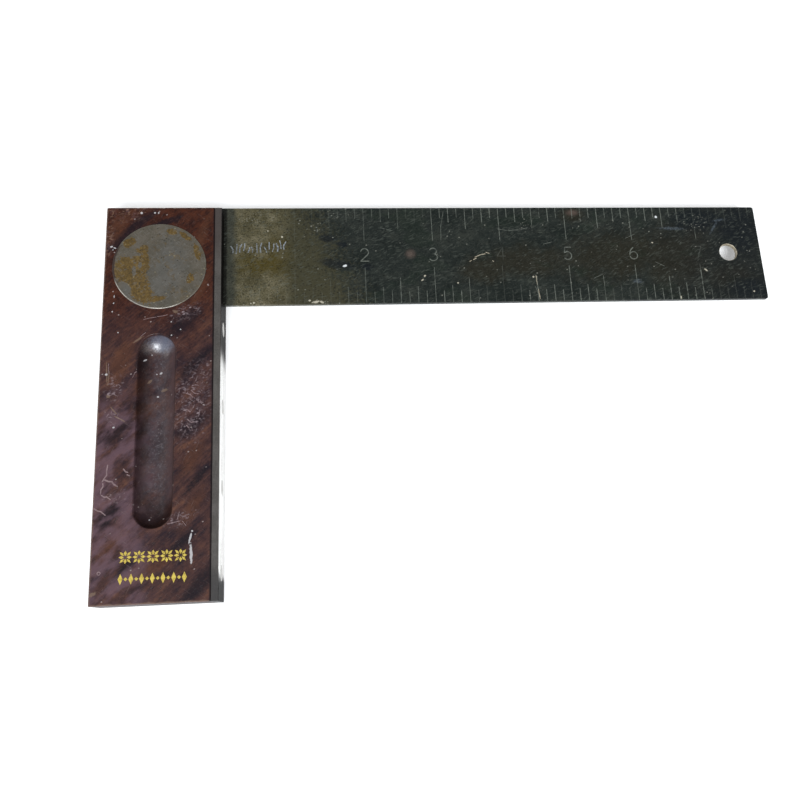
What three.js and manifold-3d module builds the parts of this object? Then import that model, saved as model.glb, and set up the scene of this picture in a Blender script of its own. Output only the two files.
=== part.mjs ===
// A woodworker's try square: a rosewood stock with a metal facing strip, and a steel blade let into
// a slot in the stock's end and riveted through two round plates. Lengths are in millimetres.
//
// Frame: the origin is the centre of the stock's working face below the blade, half way through its
// thickness. +X leaves the working face along the blade, +Y runs along the stock towards the blade,
// and +Z is square to the blade's faces. The square lies flat, on the face of its rear plate.

import * as THREE from "three";
import { mergeVertices } from "three/addons/utils/BufferGeometryUtils.js";
import Module from "manifold-3d";

const wasm = await Module();
wasm.setup();

// Driving dimensions: stock
const STOCK_WIDTH = 40; // across the stock, facing strip included
const STOCK_LENGTH = 137;
const STOCK_THICKNESS = 15;
const STOCK_CHAMFER = 0.6; // on the long edges that the hand holds
const GROOVE_WIDTH = 12.7; // finger groove, measured at the face of the stock
const GROOVE_DEPTH = 4.6;
const GROOVE_LENGTH = 66;
const GROOVE_TO_FOOT = 23.4; // from the groove's lower end to the stock's foot
const SLOT_BACK_WALL = 5; // wood left behind the blade's tang
const SLOT_PLAY = 0.1; // between the blade's faces and tang end and the slot's walls

// Driving dimensions: blade
const BLADE_REACH = 202.7; // beyond the working face: eight inches, less a little wear
const BLADE_WIDTH = 38.1;
const BLADE_THICKNESS = 1.6;
const BLADE_PROUD = 3.3; // how far the outer edge stands past the stock's end
const BLADE_CORNER_RADIUS = 0.8;
const TANG_RELIEF = 0.1; // the tang's inner edge is this much back from the blade's own
const HANGING_HOLE_RADIUS = 3.35;
const HANGING_HOLE_TO_END = 12.9;

// Driving dimensions: facing strip and its pins
const STRIP_THICKNESS = 2.4;
const STRIP_CHAMFER = 0.25;
const PIN_COUNT = 4;
const PIN_SHANK_RADIUS = 1.2;
const PIN_HEAD_RADIUS = 2.6;
const PIN_HEAD_DEPTH = 1.4;
const PIN_LENGTH = 12;
const PIN_TO_END = 9; // first and last pin, from the ends of the working face

// Driving dimensions: round plates and blade rivets
const PLATE_RADIUS = 16;
const PLATE_THICKNESS = 1.8;
const PLATE_PROUD = 0.25; // above the wood
const PLATE_CHAMFER = 0.2;
const PLATE_TO_STOCK_END = 22.5; // plate centre
const RIVET_COUNT = 3;
const RIVET_RADIUS = 2;
const RIVET_CIRCLE_RADIUS = 8;
const FIT_PLAY = 0.05; // radial play of a pin or plate in its hole

// Facets round a full circle
const PLATE_SEGMENTS = 72;
const GROOVE_SEGMENTS = 40;
const GROOVE_CAP_SEGMENTS = 12;
const PIN_SEGMENTS = 28;
const HOLE_SEGMENTS = 40;
const CORNER_SEGMENTS = 4;

// A cutter runs this far past the face that it cuts through
const OVERRUN = 2;

// Corners closer than this are one corner
const MERGE_DISTANCE = 1e-4;

// Derived places
const HALF_STOCK = STOCK_THICKNESS / 2;
const HALF_BLADE = BLADE_THICKNESS / 2;
const FACE_LENGTH = STOCK_LENGTH + BLADE_PROUD - BLADE_WIDTH;
const FOOT_Y = -FACE_LENGTH / 2;
const STOCK_END_Y = FOOT_Y + STOCK_LENGTH;
const BLADE_INNER_Y = FACE_LENGTH / 2;
const BLADE_OUTER_Y = BLADE_INNER_Y + BLADE_WIDTH;
const BLADE_MIDDLE_Y = (BLADE_INNER_Y + BLADE_OUTER_Y) / 2;
const WOOD_RIGHT_X = -STRIP_THICKNESS;
const WOOD_MIDDLE_X = (WOOD_RIGHT_X - STOCK_WIDTH) / 2;
const SLOT_LEFT_X = -STOCK_WIDTH + SLOT_BACK_WALL;
const TANG_END_X = SLOT_LEFT_X + SLOT_PLAY;
const HANGING_HOLE_X = BLADE_REACH - HANGING_HOLE_TO_END;
const PLATE_Y = STOCK_END_Y - PLATE_TO_STOCK_END;
const PLATE_FACE_Z = HALF_STOCK + PLATE_PROUD;
const PLATE_SEAT_Z = PLATE_FACE_Z - PLATE_THICKNESS;
const GROOVE_LOW_Y = FOOT_Y + GROOVE_TO_FOOT;
const GROOVE_HIGH_Y = GROOVE_LOW_Y + GROOVE_LENGTH;

const materials = {
  rosewood: new THREE.MeshStandardMaterial({ color: 0x4a2420, roughness: 0.42, metalness: 0 }),
  blade: new THREE.MeshStandardMaterial({ color: 0x3a3c32, roughness: 0.5, metalness: 0.8 }),
  facing: new THREE.MeshStandardMaterial({ color: 0x6f6c64, roughness: 0.45, metalness: 0.9 }),
  plate: new THREE.MeshStandardMaterial({ color: 0x8c8779, roughness: 0.35, metalness: 0.9 }),
  rivet: new THREE.MeshStandardMaterial({ color: 0x8a867b, roughness: 0.35, metalness: 0.9 }),
  pin: new THREE.MeshStandardMaterial({ color: 0x77736a, roughness: 0.4, metalness: 0.9 }),
};

// A solid from a closed three.js geometry, and a geometry back from a solid.
function solid(geometry) {
  const plain = geometry.clone();
  plain.deleteAttribute("normal");
  plain.deleteAttribute("uv");
  const merged = mergeVertices(plain, MERGE_DISTANCE);
  return new wasm.Manifold(
    new wasm.Mesh({
      numProp: 3,
      vertProperties: merged.attributes.position.array,
      triVerts: new Uint32Array(merged.index.array),
    }),
  );
}

function geometryOf(body) {
  const { vertProperties, triVerts } = body.getMesh();
  return new THREE.BufferGeometry()
    .setAttribute("position", new THREE.BufferAttribute(vertProperties, 3))
    .setIndex(new THREE.BufferAttribute(triVerts, 1));
}

function cut(geometry, cutters) {
  let body = solid(geometry);
  for (const cutter of cutters) {
    body = body.subtract(solid(cutter));
  }
  return geometryOf(body);
}

// A box between two corners.
function block(low, high) {
  const size = high.map((value, axis) => value - low[axis]);
  const centre = high.map((value, axis) => (value + low[axis]) / 2);
  return new THREE.BoxGeometry(...size).translate(...centre);
}

// A round bar along Z between two heights.
function barZ(radius, x, y, lowZ, highZ, segments) {
  return new THREE.CylinderGeometry(radius, radius, highZ - lowZ, segments)
    .rotateX(Math.PI / 2)
    .translate(x, y, (lowZ + highZ) / 2);
}

function outline(points) {
  return new THREE.Shape(points.map(([x, y]) => new THREE.Vector2(x, y)));
}

// A cross-section drawn in X and Z, drawn out along Y. Turned about X, the shape's own Y becomes Z
// and its depth becomes -Y, so it is drawn from the high end downwards.
function alongStock(shape, lowY, highY) {
  return new THREE.ExtrudeGeometry(shape, { depth: highY - lowY, bevelEnabled: false })
    .rotateX(Math.PI / 2)
    .translate(0, highY, 0);
}

function rivetCentres() {
  return Array.from({ length: RIVET_COUNT }, (_, index) => {
    const angle = Math.PI / 2 + (index * 2 * Math.PI) / RIVET_COUNT;
    return {
      x: WOOD_MIDDLE_X + RIVET_CIRCLE_RADIUS * Math.cos(angle),
      y: PLATE_Y + RIVET_CIRCLE_RADIUS * Math.sin(angle),
    };
  });
}

function pinHeights() {
  const span = FACE_LENGTH - 2 * PIN_TO_END;
  return Array.from(
    { length: PIN_COUNT },
    (_, index) => FOOT_Y + PIN_TO_END + (index * span) / (PIN_COUNT - 1),
  );
}

// The finger groove is the lower part of a round-ended bar sunk into the face. Its radius is the one
// whose chord at the face is the groove's width, at the groove's depth. Side is +1 in front.
function grooveCutter(side) {
  const halfWidth = GROOVE_WIDTH / 2;
  const radius = (halfWidth ** 2 + GROOVE_DEPTH ** 2) / (2 * GROOVE_DEPTH);
  const axisZ = HALF_STOCK - GROOVE_DEPTH + radius;
  const straight = GROOVE_LENGTH - GROOVE_WIDTH;
  return new THREE.CapsuleGeometry(radius, straight, GROOVE_CAP_SEGMENTS, GROOVE_SEGMENTS)
    .translate(WOOD_MIDDLE_X, (GROOVE_LOW_Y + GROOVE_HIGH_Y) / 2, side * axisZ);
}

// A countersunk pin along X, with its head's face at the given X and its point in the wood.
function pinGeometry(faceX, y, play) {
  const profile = [
    [0, -PIN_LENGTH - play],
    [PIN_SHANK_RADIUS + play, -PIN_LENGTH - play],
    [PIN_SHANK_RADIUS + play, -PIN_HEAD_DEPTH - play],
    [PIN_HEAD_RADIUS + play, 0],
    [0, 0],
  ].map(([radius, height]) => new THREE.Vector2(radius, height));
  return new THREE.LatheGeometry(profile, PIN_SEGMENTS)
    .rotateZ(-Math.PI / 2)
    .translate(faceX, y, 0);
}

// The hole for a pin: the pin's own shape with play, and a short throat that clears the face.
function pinHole(y) {
  const throat = new THREE.CylinderGeometry(
    PIN_HEAD_RADIUS + FIT_PLAY,
    PIN_HEAD_RADIUS + FIT_PLAY,
    OVERRUN,
    PIN_SEGMENTS,
  )
    .rotateZ(-Math.PI / 2)
    .translate(OVERRUN / 2, y, 0);
  return geometryOf(solid(pinGeometry(0, y, FIT_PLAY)).add(solid(throat)));
}

function rivetHoles(highZ) {
  return rivetCentres().map(({ x, y }) =>
    barZ(RIVET_RADIUS + FIT_PLAY, x, y, -highZ, highZ, PIN_SEGMENTS),
  );
}

// The slot that the blade sits in, open at the stock's end and at the working face.
function slotCutter() {
  return block(
    [SLOT_LEFT_X, BLADE_INNER_Y, -HALF_BLADE - SLOT_PLAY],
    [OVERRUN, STOCK_END_Y + OVERRUN, HALF_BLADE + SLOT_PLAY],
  );
}

function stockGeometry() {
  const section = outline([
    [WOOD_RIGHT_X, -HALF_STOCK],
    [WOOD_RIGHT_X, HALF_STOCK],
    [-STOCK_WIDTH + STOCK_CHAMFER, HALF_STOCK],
    [-STOCK_WIDTH, HALF_STOCK - STOCK_CHAMFER],
    [-STOCK_WIDTH, -HALF_STOCK + STOCK_CHAMFER],
    [-STOCK_WIDTH + STOCK_CHAMFER, -HALF_STOCK],
  ]);
  const seats = [1, -1].map((side) => {
    const inner = side * (PLATE_SEAT_Z - FIT_PLAY);
    const outer = side * (HALF_STOCK + OVERRUN);
    const low = Math.min(inner, outer);
    const high = Math.max(inner, outer);
    return barZ(PLATE_RADIUS + FIT_PLAY, WOOD_MIDDLE_X, PLATE_Y, low, high, PLATE_SEGMENTS);
  });
  return cut(alongStock(section, FOOT_Y, STOCK_END_Y), [
    slotCutter(),
    grooveCutter(1),
    grooveCutter(-1),
    ...seats,
    ...rivetHoles(HALF_STOCK),
    ...pinHeights().map(pinHole),
  ]);
}

function stripGeometry() {
  const section = outline([
    [WOOD_RIGHT_X, -HALF_STOCK],
    [-STRIP_CHAMFER, -HALF_STOCK],
    [0, -HALF_STOCK + STRIP_CHAMFER],
    [0, HALF_STOCK - STRIP_CHAMFER],
    [-STRIP_CHAMFER, HALF_STOCK],
    [WOOD_RIGHT_X, HALF_STOCK],
  ]);
  const strip = alongStock(section, FOOT_Y, STOCK_END_Y);
  return cut(strip, [slotCutter(), ...pinHeights().map(pinHole)]);
}

// The blade and its tang. The blade's straight inner edge starts at the working face.
function bladeGeometry() {
  const r = BLADE_CORNER_RADIUS;
  const plan = new THREE.Shape();
  plan.moveTo(TANG_END_X, BLADE_INNER_Y + TANG_RELIEF);
  plan.lineTo(0, BLADE_INNER_Y + TANG_RELIEF);
  plan.lineTo(0, BLADE_INNER_Y);
  plan.lineTo(BLADE_REACH - r, BLADE_INNER_Y);
  plan.absarc(BLADE_REACH - r, BLADE_INNER_Y + r, r, -Math.PI / 2, 0, false);
  plan.lineTo(BLADE_REACH, BLADE_OUTER_Y - r);
  plan.absarc(BLADE_REACH - r, BLADE_OUTER_Y - r, r, 0, Math.PI / 2, false);
  plan.lineTo(TANG_END_X, BLADE_OUTER_Y);
  plan.closePath();
  const plate = new THREE.ExtrudeGeometry(plan, {
    depth: BLADE_THICKNESS,
    bevelEnabled: false,
    curveSegments: CORNER_SEGMENTS,
  }).translate(0, 0, -HALF_BLADE);
  const hangingHole = barZ(
    HANGING_HOLE_RADIUS,
    HANGING_HOLE_X,
    BLADE_MIDDLE_Y,
    -OVERRUN,
    OVERRUN,
    HOLE_SEGMENTS,
  );
  return cut(plate, [hangingHole, ...rivetHoles(OVERRUN)]);
}

// A round plate with a chamfered rim, let into the stock. Side is +1 in front and -1 behind.
function plateGeometry(side) {
  const profile = [
    [0, PLATE_SEAT_Z],
    [PLATE_RADIUS, PLATE_SEAT_Z],
    [PLATE_RADIUS, PLATE_FACE_Z - PLATE_CHAMFER],
    [PLATE_RADIUS - PLATE_CHAMFER, PLATE_FACE_Z],
    [0, PLATE_FACE_Z],
  ].map(([radius, height]) => new THREE.Vector2(radius, height));
  const disc = new THREE.LatheGeometry(profile, PLATE_SEGMENTS)
    .rotateX((side * Math.PI) / 2)
    .translate(WOOD_MIDDLE_X, PLATE_Y, 0);
  return cut(disc, rivetHoles(PLATE_FACE_Z + OVERRUN));
}

function rivetGeometry({ x, y }) {
  return barZ(RIVET_RADIUS, x, y, -PLATE_FACE_Z, PLATE_FACE_Z, PIN_SEGMENTS);
}

const square = new THREE.Group();

function add(name, geometry, material) {
  const mesh = new THREE.Mesh(geometry, material);
  mesh.name = name;
  square.add(mesh);
}

add("stock", stockGeometry(), materials.rosewood);
add("blade", bladeGeometry(), materials.blade);
add("facing_strip", stripGeometry(), materials.facing);
add("front_plate", plateGeometry(1), materials.plate);
add("rear_plate", plateGeometry(-1), materials.plate);
rivetCentres().forEach((centre, index) => {
  add(`blade_rivet_${index + 1}`, rivetGeometry(centre), materials.rivet);
});
pinHeights().forEach((y, index) => {
  add(`facing_pin_${index + 1}`, pinGeometry(0, y, 0), materials.pin);
});

export default square;
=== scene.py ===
"""The looks of a woodworker's try square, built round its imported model.

Lengths are in millimetres in the part's own frame, and become metres when a mesh is made. Places
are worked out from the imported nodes' boxes. +X runs along the blade, +Y up the stock towards the
blade, and +Z out of the graduated face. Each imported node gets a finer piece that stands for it.
"""

import math
import random

import bmesh
import bpy
from mathutils import Euler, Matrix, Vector


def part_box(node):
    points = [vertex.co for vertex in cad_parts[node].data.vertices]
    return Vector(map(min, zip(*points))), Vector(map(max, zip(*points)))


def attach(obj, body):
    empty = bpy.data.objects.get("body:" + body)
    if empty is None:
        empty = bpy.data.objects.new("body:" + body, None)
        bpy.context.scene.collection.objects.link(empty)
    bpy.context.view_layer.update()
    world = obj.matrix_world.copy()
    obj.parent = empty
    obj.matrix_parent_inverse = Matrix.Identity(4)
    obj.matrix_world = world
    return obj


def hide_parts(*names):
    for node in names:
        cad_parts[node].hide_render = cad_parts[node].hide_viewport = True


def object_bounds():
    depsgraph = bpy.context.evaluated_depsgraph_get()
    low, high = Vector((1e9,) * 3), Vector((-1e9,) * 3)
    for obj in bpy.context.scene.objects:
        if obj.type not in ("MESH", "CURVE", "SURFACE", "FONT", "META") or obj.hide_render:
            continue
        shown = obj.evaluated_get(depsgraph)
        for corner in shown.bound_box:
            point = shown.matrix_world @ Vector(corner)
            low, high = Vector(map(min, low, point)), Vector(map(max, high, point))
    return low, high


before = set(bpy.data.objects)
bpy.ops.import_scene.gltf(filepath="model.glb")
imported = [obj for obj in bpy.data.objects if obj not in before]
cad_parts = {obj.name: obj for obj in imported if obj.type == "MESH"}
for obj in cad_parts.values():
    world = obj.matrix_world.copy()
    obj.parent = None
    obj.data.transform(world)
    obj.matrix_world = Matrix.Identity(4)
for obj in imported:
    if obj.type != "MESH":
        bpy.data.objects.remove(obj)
cad_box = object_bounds()

MM = 0.001
SEED = 7


def new_object(name, data):
    """An object in the scene that shows the data."""
    made = bpy.data.objects.new(name, data)
    bpy.context.scene.collection.objects.link(made)
    return made


def box_mm(node):
    """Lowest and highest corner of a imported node, in millimetres."""
    low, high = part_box(node)
    return low / MM, high / MM


STOCK_LOW, STOCK_HIGH = box_mm("stock")
BLADE_LOW, BLADE_HIGH = box_mm("blade")
STRIP_LOW, STRIP_HIGH = box_mm("facing_strip")
PLATE_LOW, PLATE_HIGH = box_mm("front_plate")
FACE_Z = STOCK_HIGH.z
BLADE_Z = BLADE_HIGH.z
PLATE_Z = PLATE_HIGH.z
PLATE_RADIUS = (PLATE_HIGH.x - PLATE_LOW.x) / 2
PLATE_X = (PLATE_HIGH.x + PLATE_LOW.x) / 2
PLATE_Y = (PLATE_HIGH.y + PLATE_LOW.y) / 2
BLADE_MIDDLE_Y = (BLADE_LOW.y + BLADE_HIGH.y) / 2
RIVETS = sorted(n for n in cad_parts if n.startswith("blade_rivet"))
PINS = sorted(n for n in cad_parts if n.startswith("facing_pin"))

# Features that are inside a node, so that no box gives them
GROOVE_WIDTH = 12.7
GROOVE_DEPTH = 4.6
GROOVE_LENGTH = 66
GROOVE_TO_FOOT = 23.4
GROOVE_RIM = 0.35
GROOVE_FOOT = STOCK_LOW.y + GROOVE_TO_FOOT
GROOVE_TOP = GROOVE_FOOT + GROOVE_LENGTH
SLOT_PLAY = 0.1
SLOT_Z = BLADE_Z + SLOT_PLAY
HANGING_HOLE_RADIUS = 3.35
HANGING_HOLE_TO_END = 12.9
HOLE_FLARE = 0.18
INCH = 25.4

PAST = 1  # how far a cutter reaches past a face
THROUGH = 2  # so far up and down that a cutter goes through the blade
ROUND = 48  # corners of a small round ring
PLATE_ROUND = 160
SEAT_RADIUS = PLATE_RADIUS + 0.05

# Softened edges
WOOD_EDGE = 0.7
WOOD_END_EDGE = 0.35
WOOD_SEAM_EDGE = 0.15
BLADE_EDGE = 0.12
BLADE_CORNER = 0.8
STRIP_EDGE = 0.22
PLATE_EDGE = 0.24
RIVET_EDGE = 0.03
PIN_EDGE = 0.05
HAIRLINE = 0.015
NEAR = 0.01


# ---------------- meshes


def circle(radius, x, y, z, segments=96):
    """A round ring of corners, counter-clockwise from above."""
    turns = [2 * math.pi * i / segments for i in range(segments)]
    return [(x + radius * math.cos(t), y + radius * math.sin(t), z) for t in turns]


def stadium(radius, half_length, x, y, z, segments=48):
    """A ring with straight sides along Y and half-round ends."""
    ring = []
    for end in (1, -1):
        for i in range(segments + 1):
            turn = math.pi * i / segments + (0 if end > 0 else math.pi)
            ring.append((x + radius * math.cos(turn), y + end * half_length + radius * math.sin(turn), z))
    return ring


def soft_levels(low, high, edge):
    """Inset and height of the rings of a slab whose upper and lower rims are softened."""
    return (edge, low), (0, low + edge), (0, high - edge), (edge, high)


def rectangle(low_x, low_y, high_x, high_y, z):
    return [(low_x, low_y, z), (high_x, low_y, z), (high_x, high_y, z), (low_x, high_y, z)]


def arc(x, y, radius_x, radius_y, start, end, steps=14):
    """Points along an ellipse from one angle to another, in degrees."""
    angles = [math.radians(start + (end - start) * i / steps) for i in range(steps + 1)]
    return [(x + radius_x * math.cos(a), y + radius_y * math.sin(a)) for a in angles]


def stroke_outline(points, width):
    """The outline of a line of the given width with pointed ends, as a closed ring of points."""
    line = [Vector(p) for p in points]
    along = [(b - a).normalized() for a, b in zip(line, line[1:])]
    left, right = [], []
    for i, point in enumerate(line):
        before = along[max(i - 1, 0)]
        after = along[min(i, len(along) - 1)]
        middle = (before + after).normalized()
        reach = width / 2 / max(middle.dot(after), 0.5)
        side = Vector((-middle.y, middle.x)) * reach
        left.append(point + side)
        right.append(point - side)
    tail = line[0] - along[0] * width / 2
    tip = line[-1] + along[-1] * width / 2
    return right + [tip] + left[::-1] + [tail]


class Solids:
    """Closed solids gathered into one mesh, each with its own material slot."""

    def __init__(self):
        self.corners = []
        self.faces = []
        self.slots = []

    def loft(self, rings, slot=0):
        """Adds a solid through rings that have the same number of corners, with flat ends."""
        first = len(self.corners)
        count = len(rings[0])
        self.corners += [corner for ring in rings for corner in ring]
        faces = [list(range(count))[::-1]]
        for low in range(0, count * (len(rings) - 1), count):
            for i in range(count):
                j = (i + 1) % count
                faces.append([low + i, low + j, low + count + j, low + count + i])
        last = count * (len(rings) - 1)
        faces.append(list(range(last, last + count)))
        self.faces += [[first + i for i in face] for face in faces]
        self.slots += [slot] * len(faces)
        return self

    def block(self, low, high, slot=0):
        rings = [rectangle(low[0], low[1], high[0], high[1], z) for z in (low[2], high[2])]
        return self.loft(rings, slot)

    def scribe(self, points, width, depth, face_z, slot=0):
        """A scored line: a furrow that is widest at the face and narrows as it goes down."""
        rings = []
        for rise, share in ((-1, 0.3), (1, 1.7)):
            z = face_z + rise * depth
            rings.append([(p[0], p[1], z) for p in stroke_outline(points, width * share)])
        self.loft(rings, slot)

    def ball(self, centre, radii, slot=0, steps=7, segments=14):
        """A rounded lump, flat at its poles."""
        rings = []
        for i in range(steps):
            turn = math.pi * (i + 0.5) / steps - math.pi / 2
            z = centre[2] + radii[2] * math.sin(turn)
            ring = circle(math.cos(turn), 0, 0, z, segments)
            rings.append([(centre[0] + radii[0] * x, centre[1] + radii[1] * y, z) for x, y, z in ring])
        self.loft(rings, slot)

    def piece(self, name, *materials):
        """The mesh object, in metres, with its faces pointing out."""
        mesh = bpy.data.meshes.new(name)
        mesh.from_pydata([Vector(corner) * MM for corner in self.corners], [], self.faces)
        for material in materials:
            mesh.materials.append(material)
        mesh.polygons.foreach_set("material_index", self.slots)
        shell = bmesh.new()
        shell.from_mesh(mesh)
        bmesh.ops.recalc_face_normals(shell, faces=shell.faces)
        shell.to_mesh(mesh)
        shell.free()
        return new_object(name, mesh)


def carve(piece, solids, *materials, crossing=False):
    """Cuts closed solids out of a piece. The cut walls keep the solids' own materials."""
    cutter = solids.piece("cutter", *materials)
    modifier = piece.modifiers.new("carve", "BOOLEAN")
    modifier.operation = "DIFFERENCE"
    modifier.solver = "EXACT"
    modifier.material_mode = "TRANSFER"
    modifier.use_self = crossing
    modifier.object = cutter
    graph = bpy.context.evaluated_depsgraph_get()
    carved = bpy.data.meshes.new_from_object(piece.evaluated_get(graph))
    piece.modifiers.clear()
    piece.data = carved
    bpy.data.objects.remove(cutter)


def soften_edges(piece, chosen, width, segments):
    """Rounds the edges whose two ends (in millimetres) pass the test."""
    shell = bmesh.new()
    shell.from_mesh(piece.data)
    edges = [e for e in shell.edges if chosen(*(v.co / MM for v in e.verts))]
    settings = {"profile": 0.5, "affect": "EDGES", "clamp_overlap": True}
    bmesh.ops.bevel(shell, geom=edges, offset=width * MM, segments=segments, **settings)
    shell.to_mesh(piece.data)
    shell.free()


def dress(piece, slot, *nodes):
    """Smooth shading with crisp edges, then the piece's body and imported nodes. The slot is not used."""
    piece.data.shade_smooth()
    piece.data.set_sharp_from_angle(angle=math.radians(40))
    normals = piece.modifiers.new("flat_faces", "WEIGHTED_NORMAL")
    normals.keep_sharp = True
    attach(piece, "root")
    if nodes:
        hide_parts(*nodes)
    return piece


# ---------------- materials


FLAT = 1e4  # so long across the face that depth makes no difference


def ellipse(x, y, half_length, half_width=None, degrees=0):
    """A spot's full row. A round spot gives one radius, and a spot that isn't turned no angle."""
    return x, y, half_length, half_width or half_length, degrees


class Graph:
    """A material's nodes. Its textures are placed in millimetres in the part's frame."""

    def __init__(self, name):
        self.material = bpy.data.materials.new(name)
        self.material.use_nodes = True
        self.tree = self.material.node_tree
        self.shader = self.tree.nodes["Principled BSDF"]
        place = self.node("TexCoord").outputs["Object"]
        self.place = self.vector("SCALE", place, Scale=1 / MM)
        self.x, self.y, self.z = self.node("SeparateXYZ", {0: self.place}).outputs
        self.colour = None

    def node(self, kind, inputs=None, **settings):
        """A new node with its settings, and with its inputs fed, by name or number."""
        made = self.tree.nodes.new("ShaderNode" + kind)
        for key, value in settings.items():
            setattr(made, key, value)
        for key, value in (inputs or {}).items():
            self.feed(made.inputs[key], value)
        return made

    def feed(self, socket, value):
        """Links another node's output to a socket, or sets the socket's own value."""
        if isinstance(value, bpy.types.NodeSocket):
            self.tree.links.new(value, socket)
        else:
            socket.default_value = value

    def math(self, operation, a, b=0):
        return self.node("Math", {0: a, 1: b}, operation=operation).outputs[0]

    def vector(self, operation, value, **inputs):
        made = self.node("VectorMath", {0: value, **inputs}, operation=operation)
        return made.outputs["Value" if operation == "LENGTH" else "Vector"]

    def local(self, centre, size, degrees=0):
        """Places seen from a centre, turned about Z, with one unit per given size."""
        turn = (0, 0, math.radians(degrees))
        inputs = {"Vector": self.place, "Location": centre, "Rotation": turn, "Scale": size}
        return self.node("Mapping", inputs, vector_type="TEXTURE").outputs[0]

    def noise(self, size, degrees=0, detail=4, roughness=0.55, shift=0):
        """Cloudy variation. Its lumps have the given size, one number or one for each turned axis."""
        lumps = (size, size, size) if isinstance(size, (int, float)) else size
        place = self.local((shift, shift, shift), lumps, degrees)
        inputs = {"Vector": place, "Scale": 1, "Detail": detail, "Roughness": roughness}
        return self.node("TexNoise", inputs).outputs["Fac"]

    def ramp(self, value, low, high, to_low=0, to_high=1):
        """A smooth step of the value from low to high."""
        inputs = dict(enumerate((value, low, high, to_low, to_high)))
        return self.node("MapRange", inputs, interpolation_type="SMOOTHSTEP").outputs["Result"]

    def mix(self, share, a, b):
        """Colour a where the share is 0, and colour b where it is 1."""
        a, b = ((*tone, 1) if isinstance(tone, tuple) else tone for tone in (a, b))
        return self.node("Mix", {0: share, 6: a, 7: b}, data_type="RGBA").outputs[2]

    def cover(self, tone, *shares):
        """Lays a tone over the colour so far. The shares, multiplied, say how much of it shows where."""
        self.colour = self.mix(self.times(*shares), self.colour, tone)

    def colours(self, value, *stops):
        """A colour for each level of the value: (level, colour) pairs."""
        made = self.node("ValToRGB", {0: value})
        band = made.color_ramp.elements
        while len(band) < len(stops):
            band.new(0.5)
        for element, (level, colour) in zip(band, stops):
            element.position = level
            element.color = (*colour, 1)
        return made.outputs["Color"]

    def chain(self, operation, result, *others):
        """The operation over all the values, one after the other."""
        for value in others:
            result = self.math(operation, result, value)
        return result

    def times(self, *values):
        return self.chain("MULTIPLY", *values)

    def plus(self, *values):
        return self.chain("ADD", *values)

    def most(self, *values):
        return self.chain("MAXIMUM", *values)

    def about_zero(self, noise, height):
        """Noise that goes from 0 to 1, moved to lie about zero, and this high from end to end."""
        return self.times(self.math("SUBTRACT", noise, 0.5), height)

    def swing(self, reach, size, detail=4, **settings):
        """Noise about zero, by up to about the given reach each way."""
        return self.about_zero(self.noise(size, detail=detail, **settings), 2 * reach)

    def border(self, value, low, high, *reach_and_size, **settings):
        """A smooth step from low to high whose place strays by a swing."""
        return self.ramp(self.plus(value, self.swing(*reach_and_size, **settings)), low, high)

    def patches(self, spots, edge, *frays):
        """1 inside any of the ellipses and 0 outside, over a soft edge.

        The outline strays by the sum of the frays: each is a node's output, or a swing's own values.
        """
        strays = [self.swing(*fray) if isinstance(fray, tuple) else fray for fray in frays]
        stray = self.plus(*strays) if strays else None
        reach = 3
        depth = None
        for x, y, half_length, half_width, degrees in (ellipse(*spot) for spot in spots):
            place = self.local((x, y, 0), (reach * half_length, reach * half_width, FLAT), degrees)
            inside = self.node("TexGradient", {"Vector": place}, gradient_type="SPHERICAL").outputs["Fac"]
            depth = inside if depth is None else self.most(depth, inside)
        nearest = self.times(self.math("SUBTRACT", 1.0, depth), reach)
        if strays:
            nearest = self.plus(nearest, stray)
        return self.ramp(nearest, 1 + edge, 1 - edge)

    def flecks(self, length, width, degrees, share, shift=0):
        """Short marks at an angle, some strong and some weak. The share of cells with a mark is given."""
        place = self.local((shift, shift, shift), (length, width, 3 * width), degrees)
        cells = self.node("TexVoronoi", {"Vector": place, "Scale": 1})
        lottery = self.node("SeparateColor", {0: cells.outputs["Color"]}).outputs[0]
        strength = self.ramp(lottery, 1 - share, 1 - 0.3 * share)
        return self.times(strength, self.ramp(cells.outputs["Distance"], 0.5, 0.22))

    def strokes(self, length, width, level, *turns, shift=0):
        """Short thin scratches along each of the given directions. A higher level gives fewer."""
        size = (length, width, width * 3)
        kinds = []
        for turn in turns:
            streaks = self.noise(size, turn, detail=1.5, shift=shift + turn)
            kinds.append(self.ramp(streaks, level, level + 0.07))
        return self.most(*kinds)

    def bump(self, height, distance):
        """Relief: the height is in units of the distance, which is in millimetres."""
        inputs = {"Strength": 1, "Distance": distance * MM, "Height": height}
        return self.node("Bump", inputs).outputs["Normal"]

    def finish(self, roughness, normal=None, **others):
        """Feeds the shader with the colour and the rest. A plain number holds all over the surface."""
        inputs = {"Base Color": self.colour, "Roughness": roughness}
        if normal is not None:
            inputs |= {"Normal": normal, "Coat Normal": normal}
        inputs |= {key.replace("_", " "): value for key, value in others.items()}
        for key, value in inputs.items():
            self.feed(self.shader.inputs[key], value)
        return self.material


GRAIN = 42  # degrees from the blade's direction


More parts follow.
